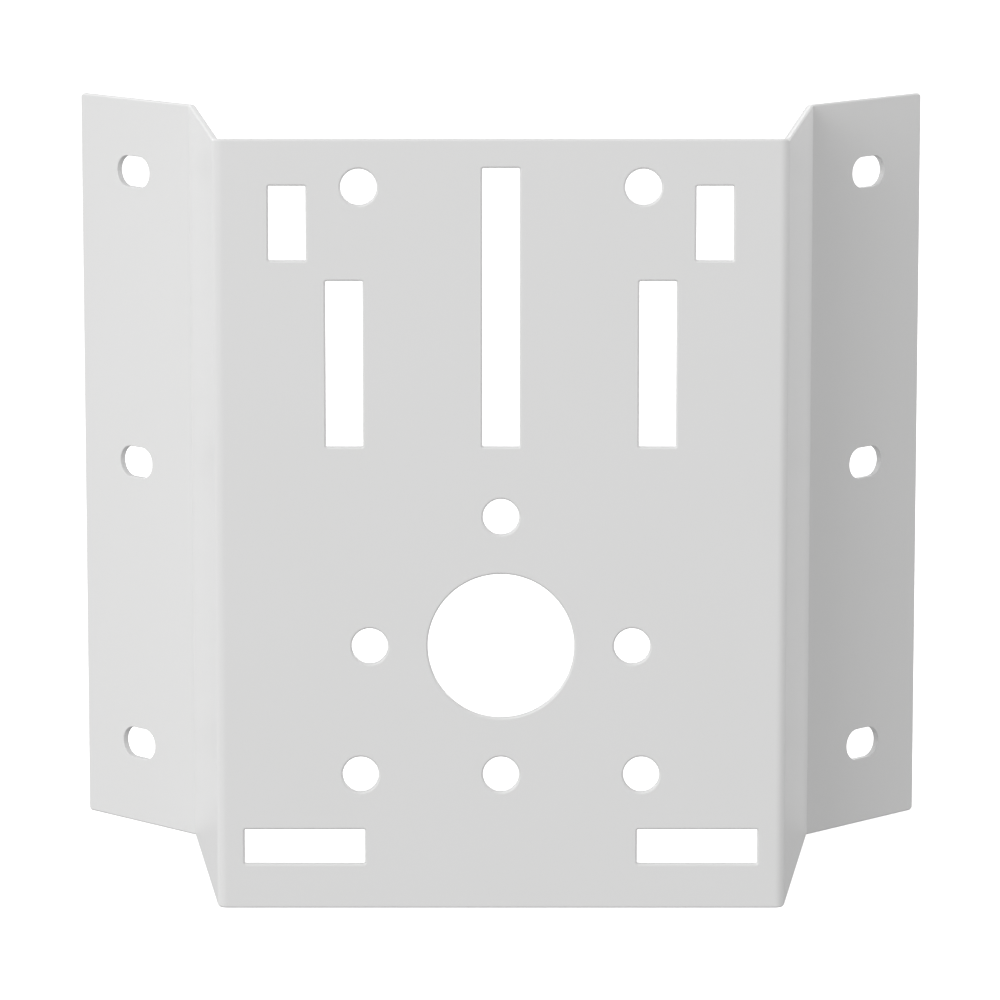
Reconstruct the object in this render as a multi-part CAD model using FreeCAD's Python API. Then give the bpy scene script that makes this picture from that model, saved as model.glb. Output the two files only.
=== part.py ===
import FreeCAD, Part
import math
import os

# Corner mount bracket for a camera: one steel sheet, pierced and then folded, that stands
# a flat plate off the outside corner of a building. All lengths are in millimetres.
# +Z runs up along the folds, the camera side faces -Y and the building is on the +Y side.
# While it is built, Y = 0 is the plate's front face and Z = 0 the bottom edge.

# The sheet
height = 220.0                # top and bottom are cut straight across, at one level
sheet = 2.0                   # thickness of the steel
inner_bend_radius = 0.8       # on the inside of every fold
neutral_line = 0.42           # share of the thickness, from the inside, that keeps its length

# The folded section
plate_width = 161.0           # between the virtual outer corners of the plate
side_flare = 7.0              # degrees that each side panel leans out from square
building_corner_angle = 90.0  # degrees between the two walls
corner_gap = 1.0              # air between the plate's back face and the building's corner
wing_length = 48.3            # from the virtual fold line to the wing's outer edge
wing_corner_radius = 1.0      # on the four outer corners of the wings

# Cable hole and the four bolts round it
cable_hole_diameter = 41.4
cable_hole_height = 76.0      # centre above the bottom edge
bolt_circle = 74.2            # pitch circle, with a hole above, below, left and right
bolt_hole_diameter = 10.2     # every round bolt hole in the plate

# Upper and lower pair of bolt holes, for a long camera base
pair_pitch = 79.6             # left hole to right hole
upper_pair_drop = 13.4        # centres below the top edge
# The lower pair is level with the lowest hole of the bolt circle.

# Upright slots
slot_width = 10.4
slot_corner_radius = 0.4
slot_rise = 20.0              # from the circle's top hole to the feet of the three long slots
centre_slot_drop = 8.1        # its upper end below the top edge
side_slot_pitch = 88.0        # centre line to centre line
side_slot_drop = 39.9         # upper end below the top edge
short_slot_pitch = 119.7      # centre line to centre line
short_slot_length = 21.0
short_slot_drop = 13.1        # upper end below the top edge

# Level slots near the bottom edge
foot_slot_length = 34.2
foot_slot_width = 10.0
foot_slot_margin = 7.6        # outer end in from the plate's virtual corner
foot_slot_lift = 1.0          # centre line above midway from the bottom edge to the lower pair's holes

# Wall screw slots, three with round ends in each wing, long way across the wing
wing_slot_length = 14.1
wing_slot_width = 9.2
wing_slot_margin = 23.3       # centre to the wing's outer edge
wing_slot_rise = 24.4         # lowest centre above the bottom edge
wing_slot_drop = 21.8         # highest centre below the top edge
wing_slot_lift = 0.6          # middle centre above mid-height

up = FreeCAD.Vector(0, 0, 1)
into_plate = FreeCAD.Vector(0, 1, 0)
half_corner = math.radians(building_corner_angle) / 2
flare = math.radians(side_flare)


def plan(x, y):
    """Point of the folded section, seen from above."""
    return FreeCAD.Vector(x, y, 0)


def section_corners():
    """Virtual corners of the front skin, from the left wing's tip to the right wing's tip."""
    # The wings' back faces lie on the walls, which meet corner_gap behind the plate,
    # so their front faces would meet here on the centre line.
    front_apex = sheet + corner_gap - sheet / math.sin(half_corner)
    bend_x = plate_width / 2
    fold_y = (bend_x + front_apex * math.tan(half_corner)) / (math.tan(half_corner) - math.tan(flare))
    fold_x = bend_x + fold_y * math.tan(flare)
    tip_x = fold_x + wing_length * math.sin(half_corner)
    tip_y = fold_y + wing_length * math.cos(half_corner)
    right = [plan(bend_x, 0), plan(fold_x, fold_y), plan(tip_x, tip_y)]
    left = [plan(-corner.x, corner.y) for corner in reversed(right)]
    return left + right


def side_normal(start, end):
    """Unit vector to the left of the way from start to end, which is the sheet's back."""
    along = (end - start).normalize()
    return plan(-along.y, along.x)


def back_corners(front):
    """Virtual corners of the back skin, one sheet thickness behind the front skin."""
    normals = [side_normal(a, b) for a, b in zip(front, front[1:])]
    corners = [front[0] + normals[0] * sheet]
    for corner, before, after in zip(front[1:-1], normals, normals[1:]):
        middle = (before + after).normalize()
        corners.append(corner + middle * (sheet / middle.dot(after)))
    corners.append(front[-1] + normals[-1] * sheet)
    return corners


def turn_at(before, corner, after):
    """Angle that the section turns at a corner: positive to the left, towards the back."""
    way_in = corner - before
    way_out = after - corner
    return math.atan2(way_in.x * way_out.y - way_in.y * way_out.x, way_in.dot(way_out))


def skin(corners, inside_is_left):
    """Edges of one skin: straight runs joined by tangent arcs, concentric with the other skin's."""
    edges = []
    start = corners[0]
    for before, corner, after in zip(corners, corners[1:], corners[2:]):
        turn = turn_at(before, corner, after)
        is_inside = (turn > 0) == inside_is_left
        radius = inner_bend_radius if is_inside else inner_bend_radius + sheet
        setback = radius * math.tan(abs(turn) / 2)
        way_in = (corner - before).normalize()
        way_out = (after - corner).normalize()
        arc_start = corner - way_in * setback
        arc_end = corner + way_out * setback
        to_centre = (way_out - way_in).normalize()
        centre = corner + to_centre * (radius / math.cos(turn / 2))
        edges.append(Part.LineSegment(start, arc_start).toShape())
        edges.append(Part.Arc(arc_start, centre - to_centre * radius, arc_end).toShape())
        start = arc_end
    edges.append(Part.LineSegment(start, corners[-1]).toShape())
    return edges


def folded_sheet():
    """The section with its four folds, drawn up to the full height, before it is pierced."""
    front = section_corners()
    back = back_corners(front)
    edges = skin(front, inside_is_left=False) + skin(back, inside_is_left=True)
    for tip in (0, -1):
        edges.append(Part.LineSegment(front[tip], back[tip]).toShape())
    outline = Part.Wire(Part.__sortEdges__(edges))
    return Part.Face(outline).extrude(up * height)


def with_round_wing_corners(solid):
    """Rounds the corners where the wings' outer edges meet the top and bottom edges."""
    tip_x = section_corners()[-1].x - sheet

    def crosses_sheet(edge):
        return abs(edge.Length - sheet) < 1e-6 and abs(edge.CenterOfMass.x) > tip_x

    return solid.makeFillet(wing_corner_radius, [edge for edge in solid.Edges if crosses_sheet(edge)])


def round_punch(x, z, diameter):
    """Round hole through the plate."""
    return Part.makeCylinder(diameter / 2, 3 * sheet, FreeCAD.Vector(x, -sheet, z), into_plate)


def slot_punch(x, z, across, upright):
    """Slot through the plate with small round corners, centred on x and z."""
    low = FreeCAD.Vector(x - across / 2, -sheet, z - upright / 2)
    block = Part.makeBox(across, 3 * sheet, upright, low)

    def runs_through(edge):
        return abs(edge.tangentAt(edge.FirstParameter).dot(into_plate)) > 0.5

    return block.makeFillet(slot_corner_radius, [edge for edge in block.Edges if runs_through(edge)])


def plate_punches():
    """Every hole and slot of the front plate."""
    circle_radius = bolt_circle / 2
    lower_pair_z = cable_hole_height - circle_radius
    upper_pair_z = height - upper_pair_drop
    long_slot_foot = cable_hole_height + circle_radius + slot_rise
    centre_slot_length = height - centre_slot_drop - long_slot_foot
    side_slot_length = height - side_slot_drop - long_slot_foot
    short_slot_x = short_slot_pitch / 2
    short_slot_z = height - short_slot_drop - short_slot_length / 2
    foot_slot_x = plate_width / 2 - foot_slot_margin - foot_slot_length / 2
    foot_slot_z = (lower_pair_z - bolt_hole_diameter / 2) / 2 + foot_slot_lift

    punches = [round_punch(0, cable_hole_height, cable_hole_diameter)]
    for quarter in range(4):
        angle = quarter * math.pi / 2
        x = circle_radius * math.cos(angle)
        z = cable_hole_height + circle_radius * math.sin(angle)
        punches.append(round_punch(x, z, bolt_hole_diameter))
    punches.append(slot_punch(0, long_slot_foot + centre_slot_length / 2, slot_width, centre_slot_length))
    for side in (-1, 1):
        pair_x = side * pair_pitch / 2
        side_slot_x = side * side_slot_pitch / 2
        side_slot_z = long_slot_foot + side_slot_length / 2
        punches.append(round_punch(pair_x, lower_pair_z, bolt_hole_diameter))
        punches.append(round_punch(pair_x, upper_pair_z, bolt_hole_diameter))
        punches.append(slot_punch(side_slot_x, side_slot_z, slot_width, side_slot_length))
        punches.append(slot_punch(side * short_slot_x, short_slot_z, slot_width, short_slot_length))
        punches.append(slot_punch(side * foot_slot_x, foot_slot_z, foot_slot_length, foot_slot_width))
    return punches


def obround_punch(centre, along, through):
    """Round-ended slot: its long way runs along, its ends are half circles."""
    radius = wing_slot_width / 2
    half_flat = along * (wing_slot_length / 2 - radius)
    start = centre - through * sheet
    top, bottom = start + up * radius, start - up * radius
    edges = [
        Part.LineSegment(top - half_flat, top + half_flat).toShape(),
        Part.Arc(top + half_flat, start + half_flat + along * radius, bottom + half_flat).toShape(),
        Part.LineSegment(bottom + half_flat, bottom - half_flat).toShape(),
        Part.Arc(bottom - half_flat, start - half_flat - along * radius, top - half_flat).toShape(),
    ]
    return Part.Face(Part.Wire(edges)).extrude(through * (3 * sheet))


def wing_slot_centres():
    """Centres of the right wing's slots, on its front face."""
    fold, tip = section_corners()[-2:]
    along = (tip - fold).normalize()
    line = tip - along * wing_slot_margin
    levels = (wing_slot_rise, height / 2 + wing_slot_lift, height - wing_slot_drop)
    return [line + up * level for level in levels]


def wing_punches():
    """The wall screw slots of both wings."""
    fold, tip = section_corners()[-2:]
    along = (tip - fold).normalize()
    through = side_normal(fold, tip)
    right = [obround_punch(centre, along, through) for centre in wing_slot_centres()]
    left = [punch.mirror(FreeCAD.Vector(0, 0, 0), FreeCAD.Vector(1, 0, 0)) for punch in right]
    return right + left


def flat_blank_width():
    """Width of the sheet before folding: the straight runs plus each bend's neutral arc."""
    front = section_corners()
    width = sum((b - a).Length for a, b in zip(front, front[1:]))
    for before, corner, after in zip(front, front[1:], front[2:]):
        turn = turn_at(before, corner, after)
        outside = turn > 0
        skin_radius = inner_bend_radius + (sheet if outside else 0)
        neutral_arc = (inner_bend_radius + neutral_line * sheet) * abs(turn)
        width += neutral_arc - 2 * skin_radius * math.tan(abs(turn) / 2)
    return width


def corner_bracket():
    """The finished bracket, with the middle of its box over the origin."""
    bracket = with_round_wing_corners(folded_sheet()).cut(plate_punches() + wing_punches())
    solid = bracket.Solids[0]
    solid.translate(FreeCAD.Vector(0, -solid.BoundBox.YMax / 2, 0))
    return solid


os.makedirs("parts", exist_ok=True)
bracket = corner_bracket()
bracket.exportStep("parts/corner_bracket.step")
box = bracket.BoundBox
print(f"bracket {box.XLength:.2f} x {box.YLength:.2f} x {box.ZLength:.2f} mm, "
      f"{bracket.Volume / 1000:.1f} cm3, flat blank {flat_blank_width():.1f} x {height:.1f} mm")
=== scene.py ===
import math
import bmesh
import bpy
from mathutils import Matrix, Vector


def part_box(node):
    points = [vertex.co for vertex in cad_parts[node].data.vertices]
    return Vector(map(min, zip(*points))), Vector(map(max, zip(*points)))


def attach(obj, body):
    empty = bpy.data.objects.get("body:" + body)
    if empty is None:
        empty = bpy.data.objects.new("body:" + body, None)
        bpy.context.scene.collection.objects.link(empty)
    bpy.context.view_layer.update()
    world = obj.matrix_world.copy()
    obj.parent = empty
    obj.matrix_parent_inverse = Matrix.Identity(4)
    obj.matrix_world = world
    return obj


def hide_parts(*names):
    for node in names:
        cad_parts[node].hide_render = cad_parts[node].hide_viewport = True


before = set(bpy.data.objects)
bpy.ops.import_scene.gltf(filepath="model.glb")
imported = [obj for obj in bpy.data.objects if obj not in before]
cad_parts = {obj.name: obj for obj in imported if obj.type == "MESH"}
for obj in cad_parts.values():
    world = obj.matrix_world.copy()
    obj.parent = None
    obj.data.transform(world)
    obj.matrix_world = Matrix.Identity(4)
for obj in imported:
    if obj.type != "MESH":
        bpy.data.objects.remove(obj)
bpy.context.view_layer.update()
mm = 0.001
cubicCm = 1e-6
weldDistance = 0.002 * mm   # points nearer than this become one


# Node trees, for shapes and for the finish

class Wire:
    # An output socket. Sums, products and comparisons on it add Math nodes to its tree.
    def __init__(self, socket):
        self.socket = socket
        self.tree = socket.id_data

    def __add__(self, other):
        return doMath("ADD", self, other)

    def __radd__(self, other):
        return doMath("ADD", other, self)

    def __sub__(self, other):
        return doMath("SUBTRACT", self, other)

    def __rsub__(self, other):
        return doMath("SUBTRACT", other, self)

    def __mul__(self, other):
        return doMath("MULTIPLY", self, other)

    def __truediv__(self, other):
        return doMath("DIVIDE", self, other)

    def __neg__(self):
        return doMath("MULTIPLY", self, -1)

    def __gt__(self, other):
        return doMath("GREATER_THAN", self, other)

    def __lt__(self, other):
        return doMath("LESS_THAN", self, other)


def doMath(operation, *values):
    tree = next(value.tree for value in values if isinstance(value, Wire))
    return addNode(tree, "ShaderNodeMath", {"operation": operation}, dict(enumerate(values)))


def addNode(tree, kind, settings, values, outputs=0):
    # Settings come first, because some of them change which sockets there are.
    # outputs is the place of one live output, or a tuple of names for a list of them.
    node = tree.nodes.new(kind)
    for name, value in settings.items():
        setattr(node, name, value)
    for key, value in values.items():
        socket = node.inputs[key] if isinstance(key, int) else findSocket(node.inputs, key)
        for item in value if isinstance(value, list) else [value]:
            if isinstance(item, Wire):
                tree.links.new(item.socket, socket)
            else:
                socket.default_value = item
    if isinstance(outputs, tuple):
        return [Wire(findSocket(node.outputs, name)) for name in outputs]
    live = [socket for socket in node.outputs if socket.enabled]
    return Wire(live[outputs]) if live else None


def findSocket(sockets, name):
    live = (socket for socket in sockets if socket.enabled)
    return next(socket for socket in live if name in (socket.name, socket.identifier))


def namedInputs(tree, sizes):
    for name, value in sizes.items():
        kind = "NodeSocketInt" if isinstance(value, int) else "NodeSocketFloat"
        tree.interface.new_socket(name=name, in_out="INPUT", socket_type=kind)
    return dict(zip(sizes, addNode(tree, "NodeGroupInput", {}, {}, tuple(sizes))))


# Powder coat: light grey, semi-gloss, with a fine orange peel

powderCoat = {
    "colour": (0.80, 0.80, 0.80, 1),
    "cloudColour": (0.79, 0.79, 0.785, 1),  # where the coat is a little thinner
    "cloudSize": 35 * mm,
    "cloudDetail": 2.0,
    "slotWallShadeColour": (0.67, 0.67, 0.67, 1),    # painted shade on the walls of the wings' slots
    "roughness": 0.30,
    "roughnessSpread": 0.05,
    "peelSize": 0.9 * mm,                   # from one hump of the orange peel to the next
    "peelDepth": 0.006 * mm,
    "grainSize": 0.22 * mm,
    "grainShare": 0.25,                     # of the bump that comes from the grain
    "fineDetail": 1.0,                      # of the peel and the grain
    "refraction": 1.5,
}
noiseMean = 0.5
octaveRoughness = 0.5


def noise(tree, place, size, detail):
    # size is about the distance between two humps.
    return addNode(tree, "ShaderNodeTexNoise", {"noise_dimensions": "3D"},
                   {"Vector": place, "Scale": 1 / size, "Detail": detail, "Roughness": octaveRoughness})


def mixedColour(tree, share, colour, other):
    return addNode(tree, "ShaderNodeMix", {"data_type": "RGBA"},
                   {"Factor": share, "A_Color": colour, "B_Color": other})


def makePowderCoat(coat):
    material = bpy.data.materials.new("powderCoat")
    material.use_nodes = True
    tree = material.node_tree
    tree.nodes.clear()
    place = addNode(tree, "ShaderNodeTexCoord", {}, {}, ("Object",))[0]
    clouds = noise(tree, place, coat["cloudSize"], coat["cloudDetail"])
    peel = noise(tree, place, coat["peelSize"], coat["fineDetail"])
    grain = noise(tree, place, coat["grainSize"], coat["fineDetail"])
    # Painted shade: the walls of the wings' slots are coloured darker than the rest of the coat.
    inSlotShade = addNode(tree, "ShaderNodeAttribute", {"attribute_name": "thinCoat"}, {}, ("Fac",))[0]
    colour = mixedColour(tree, clouds, coat["colour"], coat["cloudColour"])
    colour = mixedColour(tree, inSlotShade, colour, coat["slotWallShadeColour"])
    roughness = coat["roughness"] + (grain - noiseMean) * coat["roughnessSpread"]
    relief = peel * (1 - coat["grainShare"]) + grain * coat["grainShare"]
    normal = addNode(tree, "ShaderNodeBump", {},
                     {"Height": relief, "Distance": coat["peelDepth"], "Strength": 1.0})
    surface = addNode(tree, "ShaderNodeBsdfPrincipled", {},
                      {"Base Color": colour, "Roughness": roughness, "Normal": normal,
                       "IOR": coat["refraction"]})
    addNode(tree, "ShaderNodeOutputMaterial", {}, {"Surface": surface})
    return material


# The bracket: a flat blank is cut out and pierced, gets its thickness, and is then folded.
# On the flat blank X runs along the section, Y up the folds, and the back skin is at -Z.
# Its height is the CAD node's.

bracketSizes = {
    "sheet": 2.0 * mm,
    "innerBendRadius": 0.8 * mm,
    "plateWidth": 161.0 * mm,             # between the virtual outer corners
    "sideFlare": math.radians(7),         # each side panel leans out this much from square
    "halfCorner": math.radians(45),       # half the angle between the building's walls
    "cornerGap": 1.0 * mm,                # plate's back to the building's corner
    "wingLength": 48.3 * mm,              # from the virtual fold line
    "wingCornerRadius": 1.0 * mm,
    "cableHoleDiameter": 41.4 * mm,
    "cableHoleHeight": 76.0 * mm,
    "boltCircle": 74.2 * mm,
    "circleBolts": 4,
    "boltHoleDiameter": 10.2 * mm,
    "pairPitch": 79.6 * mm,
    "upperPairDrop": 13.4 * mm,
    "slotWidth": 10.4 * mm,
    "slotCornerRadius": 0.4 * mm,
    "slotRise": 20.0 * mm,                # circle's top hole to the feet of the long slots
    "centreSlotDrop": 8.1 * mm,
    "sideSlotPitch": 88.0 * mm,
    "sideSlotDrop": 39.9 * mm,
    "shortSlotPitch": 119.7 * mm,
    "shortSlotLength": 21.0 * mm,
    "shortSlotDrop": 13.1 * mm,
    "footSlotLength": 34.2 * mm,
    "footSlotWidth": 10.0 * mm,
    "footSlotMargin": 7.6 * mm,
    "footSlotLift": 1.0 * mm,             # above midway from the bottom edge to the holes over it
    "wingSlotLength": 14.1 * mm,
    "wingSlotWidth": 9.2 * mm,
    "wingSlotMargin": 23.3 * mm,          # centre to the wing's outer edge
    "wingSlotRise": 24.4 * mm,
    "wingSlotDrop": 21.8 * mm,
    "wingSlotLift": 0.6 * mm,             # of the middle one above mid-height
    "bendSteps": 13,                      # points across each bend
    "cornerSteps": 6,                     # and round a small corner
    "holeSteps": 64,                      # and all the way round a hole
    "cableHoleSteps": 160,
}
edgeRound = {
    "plateRim": 0.6 * mm,      # the widest: the punch draws the front rims of the holes in a little
    "wingRim": 0.2 * mm,
    "backRim": 0.1 * mm,
    "ends": 0.5 * mm,          # top and bottom edges
    "tips": 0.25 * mm,         # the wings' outer edges
    "outlineReach": 1.5 * mm,  # how far in from the blank's outline an edge still belongs to it
    "fromAngle": math.radians(30),
}
bevelShape = {
    "segments": 4,
    "profile": 0.30,           # 0.25 is a flat chamfer, 0.5 a quarter round
    "normalWeight": 50,
}


def flatRuns(size):
    # Where each bend starts and ends, from the middle of the blank, along the front skin.
    bendTurn = math.pi / 2 - size["sideFlare"]
    foldTurn = bendTurn - size["halfCorner"]
    bendRadius = size["innerBendRadius"] + size["sheet"]
    foldRadius = size["innerBendRadius"]
    bendSetback = bendRadius * doMath("TANGENT", bendTurn / 2)
    foldSetback = foldRadius * doMath("TANGENT", foldTurn / 2)
    cornerSlope = doMath("TANGENT", size["halfCorner"])
    apex = size["sheet"] + size["cornerGap"] - size["sheet"] / doMath("SINE", size["halfCorner"])
    bendX = size["plateWidth"] / 2
    foldDepth = (bendX + apex * cornerSlope) / (cornerSlope - doMath("TANGENT", size["sideFlare"]))
    sideLength = foldDepth / doMath("COSINE", size["sideFlare"])
    run = {"bendTurn": bendTurn, "foldTurn": foldTurn, "bendRadius": bendRadius, "foldRadius": foldRadius}
    run["bendStart"] = bendX - bendSetback
    run["bendEnd"] = run["bendStart"] + bendRadius * bendTurn
    run["sideRun"] = sideLength - bendSetback - foldSetback
    run["foldStart"] = run["bendEnd"] + run["sideRun"]
    run["foldEnd"] = run["foldStart"] + foldRadius * foldTurn
    run["tip"] = run["foldEnd"] + size["wingLength"] - foldSetback
    return run


def point(tree, x, y, z=0.0):
    return addNode(tree, "ShaderNodeCombineXYZ", {}, {"X": x, "Y": y, "Z": z})


def pointPair(tree, halfPitch, y):
    # Two points, level with each other, left and right of the centre line.
    left = point(tree, -halfPitch, y)
    right = point(tree, halfPitch, y)
    return addNode(tree, "GeometryNodeMeshLine", {"mode": "END_POINTS"},
                   {"Count": 2, "Start Location": left, "Offset": right})


def onePoint(tree, x, y):
    return addNode(tree, "GeometryNodePoints", {}, {"Count": 1, "Position": point(tree, x, y)})


def joined(tree, parts):
    return addNode(tree, "GeometryNodeJoinGeometry", {}, {"Geometry": parts})


def moved(tree, shape, x, y):
    return addNode(tree, "GeometryNodeTransform", {},
                   {"Geometry": shape, "Translation": point(tree, x, y)})


def welded(tree, shape):
    return addNode(tree, "GeometryNodeMergeByDistance", {},
                   {"Geometry": shape, "Distance": weldDistance})


def outlineAt(tree, points, outline):
    stamped = addNode(tree, "GeometryNodeInstanceOnPoints", {}, {"Points": points, "Instance": outline})
    return addNode(tree, "GeometryNodeRealizeInstances", {}, {"Geometry": stamped})


def circleOutline(tree, diameter, steps):
    return addNode(tree, "GeometryNodeCurvePrimitiveCircle", {"mode": "RADIUS"},
                   {"Resolution": steps, "Radius": diameter / 2}, ("Curve",))[0]


def boxOutline(tree, width, height):
    return addNode(tree, "GeometryNodeCurvePrimitiveQuadrilateral", {"mode": "RECTANGLE"},
                   {"Width": width, "Height": height})


def roundCorners(tree, outline, radius, steps):
    return addNode(tree, "GeometryNodeFilletCurve", {"mode": "POLY"},
                   {"Curve": outline, "Radius": radius, "Count": steps, "Limit Radius": True})


def slotOutline(tree, size, width, height):
    box = boxOutline(tree, width, height)
    return roundCorners(tree, box, size["slotCornerRadius"], size["cornerSteps"])


def platePunches(tree, size):
    circleRadius = size["boltCircle"] / 2
    lowerPairY = size["cableHoleHeight"] - circleRadius
    upperPairY = size["height"] - size["upperPairDrop"]
    longSlotFoot = size["cableHoleHeight"] + circleRadius + size["slotRise"]
    centreSlotLength = size["height"] - size["centreSlotDrop"] - longSlotFoot
    centreSlotY = longSlotFoot + centreSlotLength / 2
    sideSlotLength = size["height"] - size["sideSlotDrop"] - longSlotFoot
    sideSlotY = longSlotFoot + sideSlotLength / 2
    shortSlotY = size["height"] - size["shortSlotDrop"] - size["shortSlotLength"] / 2
    footSlotX = size["plateWidth"] / 2 - size["footSlotMargin"] - size["footSlotLength"] / 2
    footSlotY = (lowerPairY - size["boltHoleDiameter"] / 2) / 2 + size["footSlotLift"]
    cableHole = circleOutline(tree, size["cableHoleDiameter"], size["cableHoleSteps"])
    boltHole = circleOutline(tree, size["boltHoleDiameter"], size["holeSteps"])
    ring = addNode(tree, "GeometryNodeMeshCircle", {"fill_type": "NONE"},
                   {"Vertices": size["circleBolts"], "Radius": circleRadius})
    boltPlaces = joined(tree, [
        moved(tree, ring, 0.0, size["cableHoleHeight"]),
        pointPair(tree, size["pairPitch"] / 2, lowerPairY),
        pointPair(tree, size["pairPitch"] / 2, upperPairY),
    ])
    sidePlaces = pointPair(tree, size["sideSlotPitch"] / 2, sideSlotY)
    shortPlaces = pointPair(tree, size["shortSlotPitch"] / 2, shortSlotY)
    slots = [
        (onePoint(tree, 0.0, centreSlotY), size["slotWidth"], centreSlotLength),
        (sidePlaces, size["slotWidth"], sideSlotLength),
        (shortPlaces, size["slotWidth"], size["shortSlotLength"]),
        (pointPair(tree, footSlotX, footSlotY), size["footSlotLength"], size["footSlotWidth"]),
    ]
    punches = [outlineAt(tree, onePoint(tree, 0.0, size["cableHoleHeight"]), cableHole)]
    punches.append(outlineAt(tree, boltPlaces, boltHole))
    for places, width, height in slots:
        punches.append(outlineAt(tree, places, slotOutline(tree, size, width, height)))
    return punches


def wingPunches(tree, size, run):
    slotX = run["tip"] - size["wingSlotMargin"]
    levels = [
        size["wingSlotRise"],
        size["height"] / 2 + size["wingSlotLift"],
        size["height"] - size["wingSlotDrop"],
    ]
    places = joined(tree, [pointPair(tree, slotX, level) for level in levels])
    slot = roundCorners(tree, boxOutline(tree, size["wingSlotLength"], size["wingSlotWidth"]),
                        size["wingSlotWidth"] / 2, size["holeSteps"] / 4)
    return [outlineAt(tree, places, slot)]


def piercedBlank(tree, size, run):
    # Flat panels with their holes and slots, and between them the strips that will bend.
    middle = size["height"] / 2
    plate = moved(tree, boxOutline(tree, run["bendStart"] * 2, size["height"]), 0.0, middle)
    sides = outlineAt(tree, pointPair(tree, (run["bendEnd"] + run["foldStart"]) / 2, middle),
                      boxOutline(tree, run["sideRun"], size["height"]))
    wingMiddle = (run["foldEnd"] + run["tip"]) / 2
    wings = outlineAt(tree, pointPair(tree, wingMiddle, middle),
                      boxOutline(tree, run["tip"] - run["foldEnd"], size["height"]))
    place = addNode(tree, "GeometryNodeInputPosition", {}, {})
    across = addNode(tree, "ShaderNodeSeparateXYZ", {}, {"Vector": place}, ("X",))[0]
    isOuter = doMath("ABSOLUTE", across) > wingMiddle
    wings = roundCorners(tree, wings, size["wingCornerRadius"] * isOuter, size["cornerSteps"])
    outlines = [plate, sides, wings] + platePunches(tree, size) + wingPunches(tree, size, run)
    panels = addNode(tree, "GeometryNodeFillCurve", {"mode": "NGONS"}, {"Curve": joined(tree, outlines)})
    strips = []
    for start, end in (("bendStart", "bendEnd"), ("foldStart", "foldEnd")):
        strip = addNode(tree, "GeometryNodeMeshGrid", {},
                        {"Size X": run[end] - run[start], "Size Y": size["height"],
                         "Vertices X": size["bendSteps"], "Vertices Y": 2}, ("Mesh",))[0]
        strips.append(outlineAt(tree, pointPair(tree, (run[start] + run[end]) / 2, middle), strip))
    return joined(tree, [panels] + strips)


def thickened(tree, skin, sheet):
    # The front skin, a back skin one sheet thickness behind it, and the walls between them.
    skin = welded(tree, skin)
    backSkin = addNode(tree, "GeometryNodeFlipFaces", {}, {"Mesh": skin})
    backAndEdges = addNode(tree, "GeometryNodeExtrudeMesh", {"mode": "FACES"},
                           {"Mesh": backSkin, "Offset": point(tree, 0.0, 0.0, -1.0),
                            "Offset Scale": sheet, "Individual": False}, ("Mesh",))[0]
    return welded(tree, joined(tree, [skin, backAndEdges]))


def choose(isTrue, value, other):
    return other + isTrue * (value - other)


def stored(tree, shape, domain, name, value):
    return addNode(tree, "GeometryNodeStoreNamedAttribute", {"data_type": "FLOAT", "domain": domain},
                   {"Geometry": shape, "Name": name, "Value": value})


def marked(tree, blank, size, run):
    # Marks the walls of the wings' slots for a painted shade, and each sharp edge with its share
    # of the widest rounding, for the Bevel at the end.
    place = addNode(tree, "GeometryNodeInputPosition", {}, {})
    x, y, z = addNode(tree, "ShaderNodeSeparateXYZ", {}, {"Vector": place}, ("X", "Y", "Z"))
    along = doMath("ABSOLUTE", x)
    toTip = run["tip"] - along
    toEnd = doMath("MINIMUM", y, size["height"] - y)
    isOutline = size["outlineReach"] > doMath("MINIMUM", toTip, toEnd)
    isWing = along > run["foldEnd"]

    wallLimit = 0.5   # of how far a normal points out of the blank: 1 on a skin, 0 on a wall
    normal = addNode(tree, "GeometryNodeInputNormal", {}, {}, ("Normal",))[0]
    facing = addNode(tree, "ShaderNodeSeparateXYZ", {}, {"Vector": normal}, ("Z",))[0]
    isWall = doMath("ABSOLUTE", facing) < wallLimit
    # Painted shade: the walls of the wings' slots, away from the outline, are marked to be coloured
    # darker.
    blank = stored(tree, blank, "FACE", "thinCoat", isWall * isWing * (1 - isOutline))

    angle = addNode(tree, "GeometryNodeInputMeshEdgeAngle", {}, {}, ("Unsigned Angle",))[0]
    isSharp = angle > size["fromAngle"]
    rim = choose(isWing, size["wingRim"], size["plateRim"])
    rim = choose(-z > size["sheet"] / 2, size["backRim"], rim)
    # Round a wing's corner the width changes little by little.
    outline = choose(toTip / (toTip + toEnd), size["ends"], size["tips"])
    width = choose(isOutline, outline, rim)
    return stored(tree, blank, "EDGE", "bevel_weight_edge", isSharp * width / size["plateRim"])


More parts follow.
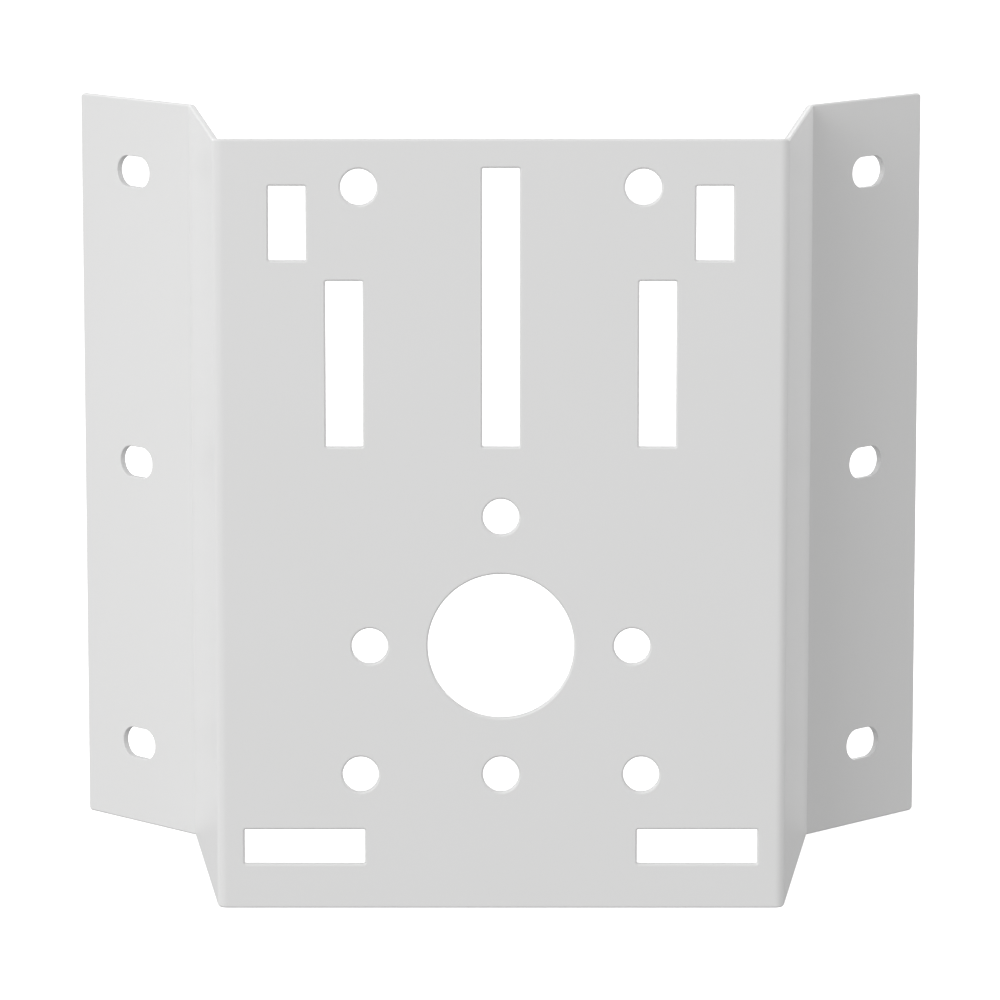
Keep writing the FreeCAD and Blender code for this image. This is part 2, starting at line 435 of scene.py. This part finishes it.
def folded(tree, blank, run, frontY):
    # A point keeps its depth behind the front skin, while that skin turns back at the bend
    # and outwards again at the fold.
    place = addNode(tree, "GeometryNodeInputPosition", {}, {})
    x, y, z = addNode(tree, "ShaderNodeSeparateXYZ", {}, {"Vector": place}, ("X", "Y", "Z"))
    along = doMath("ABSOLUTE", x)
    side = doMath("SIGN", x)
    depth = -z

    def between(start, end):
        return doMath("MINIMUM", doMath("MAXIMUM", along - run[start], 0.0), run[end] - run[start])

    bent = between("bendStart", "bendEnd") / run["bendRadius"]
    unfolded = between("foldStart", "foldEnd") / run["foldRadius"]
    heading = bent - unfolded
    sideWay = between("bendEnd", "foldStart")
    wingWay = doMath("MAXIMUM", along - run["foldEnd"], 0.0)
    wingHeading = run["bendTurn"] - run["foldTurn"]
    foldHeading = run["bendTurn"] - unfolded
    sideSine = doMath("SINE", run["bendTurn"])
    sideCosine = doMath("COSINE", run["bendTurn"])
    skinX = (doMath("MINIMUM", along, run["bendStart"])
             + run["bendRadius"] * doMath("SINE", bent)
             + sideCosine * sideWay
             + run["foldRadius"] * (sideSine - doMath("SINE", foldHeading))
             + doMath("COSINE", wingHeading) * wingWay)
    skinY = (run["bendRadius"] * (1 - doMath("COSINE", bent))
             + sideSine * sideWay
             + run["foldRadius"] * (doMath("COSINE", foldHeading) - sideCosine)
             + doMath("SINE", wingHeading) * wingWay)
    foldedX = side * (skinX - depth * doMath("SINE", heading))
    foldedY = skinY + depth * doMath("COSINE", heading) + frontY
    return addNode(tree, "GeometryNodeSetPosition", {},
                   {"Geometry": blank, "Position": point(tree, foldedX, foldedY, y)})


def bracketTree(values, finish):
    tree = bpy.data.node_groups.new("foldedBracket", "GeometryNodeTree")
    size = namedInputs(tree, values)
    tree.interface.new_socket(name="Bracket", in_out="OUTPUT", socket_type="NodeSocketGeometry")
    run = flatRuns(size)
    blank = thickened(tree, piercedBlank(tree, size, run), size["sheet"])
    solid = folded(tree, marked(tree, blank, size, run), run, size["frontY"])
    real = addNode(tree, "GeometryNodeRealizeInstances", {}, {"Geometry": solid})
    coated = addNode(tree, "GeometryNodeSetMaterial", {}, {"Geometry": real, "Material": finish})
    addNode(tree, "NodeGroupOutput", {}, {"Bracket": coated})
    return tree


def plainMesh(tree, values):
    carrier = bpy.data.objects.new("carrier", bpy.data.meshes.new("carrier"))
    bpy.context.scene.collection.objects.link(carrier)
    modifier = carrier.modifiers.new("foldedBracket", "NODES")
    modifier.node_group = tree
    for item in tree.interface.items_tree:
        if item.in_out == "INPUT":
            modifier[item.identifier] = values[item.name]
    shown = carrier.evaluated_get(bpy.context.evaluated_depsgraph_get())
    mesh = bpy.data.meshes.new_from_object(shown)
    bpy.data.objects.remove(carrier)
    return mesh


def closeShell(mesh):
    shell = bmesh.new()
    shell.from_mesh(mesh)
    bmesh.ops.remove_doubles(shell, verts=shell.verts, dist=weldDistance)
    bmesh.ops.recalc_face_normals(shell, faces=shell.faces)
    for face in shell.faces:
        face.smooth = True
    openEdges = sum(1 for edge in shell.edges if len(edge.link_faces) != 2)
    volume = round(shell.calc_volume(signed=True) / cubicCm, 2)
    shell.to_mesh(mesh)
    shell.free()
    print("bracket:", len(mesh.polygons), "faces,", openEdges, "open edges,", volume, "cm3")


def makeBracket(sizes, rounding, finish):
    low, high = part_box("corner_bracket")
    values = {**sizes, **rounding, "height": high.z - low.z, "frontY": low.y}
    mesh = plainMesh(bracketTree(values, finish), values)
    closeShell(mesh)
    bracket = bpy.data.objects.new("folded_bracket", mesh)
    bpy.context.scene.collection.objects.link(bracket)
    return bracket


def softenEdges(piece, widest, shape):
    bevel = piece.modifiers.new("edges", "BEVEL")
    bevel.width = widest
    bevel.segments = shape["segments"]
    bevel.profile = shape["profile"]
    bevel.limit_method = "WEIGHT"
    bevel.use_clamp_overlap = False
    bevel.loop_slide = False
    bevel.miter_outer = "MITER_SHARP"
    normals = piece.modifiers.new("normals", "WEIGHTED_NORMAL")
    normals.weight = shape["normalWeight"]
    normals.keep_sharp = False


coat = makePowderCoat(powderCoat)
bracket = makeBracket(bracketSizes, edgeRound, coat)
softenEdges(bracket, edgeRound["plateRim"], bevelShape)
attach(bracket, "root")
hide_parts("corner_bracket")
print("bracket folded and coated")


# Studio: a white floor, soft lights and the photograph's camera

white = (1, 1, 1, 1)
studio = {
    "floorColour": (0.92, 0.92, 0.92, 1),
    "floorRoughness": 0.9,
    "floorGlow": 0.7,          # keeps it white right up to the bracket
    "floorReach": 9.0,
    # Strengths of the soft light, from the left and from the right. Sky is above the
    # horizon and ground below it, and front is the camera's side of the bracket.
    "skyFront": (1.25, 0.25),
    "skyBack": (0.82, 0.63),
    "groundFront": (0.35, 0.48),
    "groundBack": (0.68, 0.12),
    "backFrom": 0.0,           # how far a direction points back where the front's light starts to fade
    "backFully": 0.9,          # and where only the back's is left
    "horizonWidth": 0.3,
}
# place, aim, width, height, spread in degrees, power
lights = {
    "key": ((-0.8, -2.4, 0.8), (0, 0, 0.1), 0.9, 0.9, 90, 4.70),
    "right": ((2.2, -0.6, 0.7), (0, 0, 0.1), 1.2, 1.0, 90, 1.10),
    "leftRear": ((-1.5, 1.3, 0.7), (0, 0, 0.1), 1.0, 1.0, 90, 2.50),
    "rightRear": ((1.5, 1.3, 0.7), (0, 0, 0.1), 1.0, 1.0, 90, 4.60),
    # These two stand low behind, for the cut top edges.
    "leftEdge": ((-0.37, 2.5, 0.75), (0, 0, 0.2), 0.35, 0.9, 180, 0.15),
    "rightEdge": ((0.37, 2.5, 0.75), (0, 0, 0.2), 0.35, 0.9, 180, 0.85),
}


def makeFloor(look):
    reach = look["floorReach"]
    corners = [(-reach, -reach, 0), (reach, -reach, 0), (reach, reach, 0), (-reach, reach, 0)]
    mesh = bpy.data.meshes.new("floor")
    mesh.from_pydata(corners, [], [(0, 1, 2, 3)])
    material = bpy.data.materials.new("paleFloor")
    material.use_nodes = True
    shader = material.node_tree.nodes["Principled BSDF"]
    shader.inputs["Base Color"].default_value = look["floorColour"]
    shader.inputs["Roughness"].default_value = look["floorRoughness"]
    shader.inputs["Emission Color"].default_value = white
    shader.inputs["Emission Strength"].default_value = look["floorGlow"]
    mesh.materials.append(material)
    floor = bpy.data.objects.new("floor", mesh)
    bpy.context.scene.collection.objects.link(floor)
    # The camera alone sees it, and the soft light from below gets past it.
    floor.visible_diffuse = False
    floor.visible_glossy = False
    floor.visible_shadow = False


def makeLight(name, place, aim, width, height, spread, power):
    lamp = bpy.data.lights.new(name, "AREA")
    lamp.shape = "RECTANGLE"
    lamp.size = width
    lamp.size_y = height
    lamp.spread = math.radians(spread)
    lamp.energy = power
    light = bpy.data.objects.new(name, lamp)
    light.location = place
    light.rotation_euler = (Vector(aim) - Vector(place)).to_track_quat("-Z", "Y").to_euler()
    light.visible_camera = False
    bpy.context.scene.collection.objects.link(light)


camera = {
    "distance": 1636.5 * mm,   # in front of the plate's front face
    "height": 401.5 * mm,
    "across": -0.27 * mm,
    "pitch": math.radians(9.827),
    "lens": 212.35,            # Blender takes the lens and the sensor in millimetres
    "sensorWidth": 36.0,
    "nearest": 0.1,
    "farthest": 60.0,
}


def makeCamera(look):
    data = bpy.data.cameras.new("camera")
    data.lens = look["lens"]
    data.sensor_width = look["sensorWidth"]
    data.clip_start = look["nearest"]
    data.clip_end = look["farthest"]
    body = bpy.data.objects.new("camera", data)
    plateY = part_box("corner_bracket")[0].y
    body.location = (look["across"], plateY - look["distance"], look["height"])
    body.rotation_euler = (math.pi / 2 - look["pitch"], 0, 0)
    bpy.context.scene.collection.objects.link(body)
    bpy.context.scene.camera = body


def makeWorld(look):
    world = bpy.data.worlds.new("softRoom")
    world.use_nodes = True
    tree = world.node_tree
    tree.nodes.clear()
    direction = addNode(tree, "ShaderNodeTexCoord", {}, {}, ("Generated",))[0]
    across, depth, height = addNode(tree, "ShaderNodeSeparateXYZ", {}, {"Vector": direction},
                                    ("X", "Y", "Z"))
    reach = look["horizonWidth"] / 2

    def fade(value, low, high, start, end):
        return addNode(tree, "ShaderNodeMapRange", {"interpolation_type": "SMOOTHSTEP"},
                       {"Value": value, "From Min": low, "From Max": high,
                        "To Min": start, "To Max": end})

    def leftToRight(strengths):
        # A direction reaches from -1, straight to the left, to 1.
        return fade(across, -1.0, 1.0, *strengths)

    def around(front, back):
        return fade(depth, look["backFrom"], look["backFully"], leftToRight(front), leftToRight(back))

    sky = around(look["skyFront"], look["skyBack"])
    ground = around(look["groundFront"], look["groundBack"])
    strength = fade(height, -reach, reach, ground, sky)
    light = addNode(tree, "ShaderNodeBackground", {}, {"Color": white, "Strength": strength})
    addNode(tree, "ShaderNodeOutputWorld", {}, {"Surface": light})
    bpy.context.scene.world = world


makeFloor(studio)
for name, setup in lights.items():
    makeLight(name, *setup)
makeWorld(studio)
makeCamera(camera)
bpy.context.scene.view_settings.view_transform = "Standard"
print("studio ready")
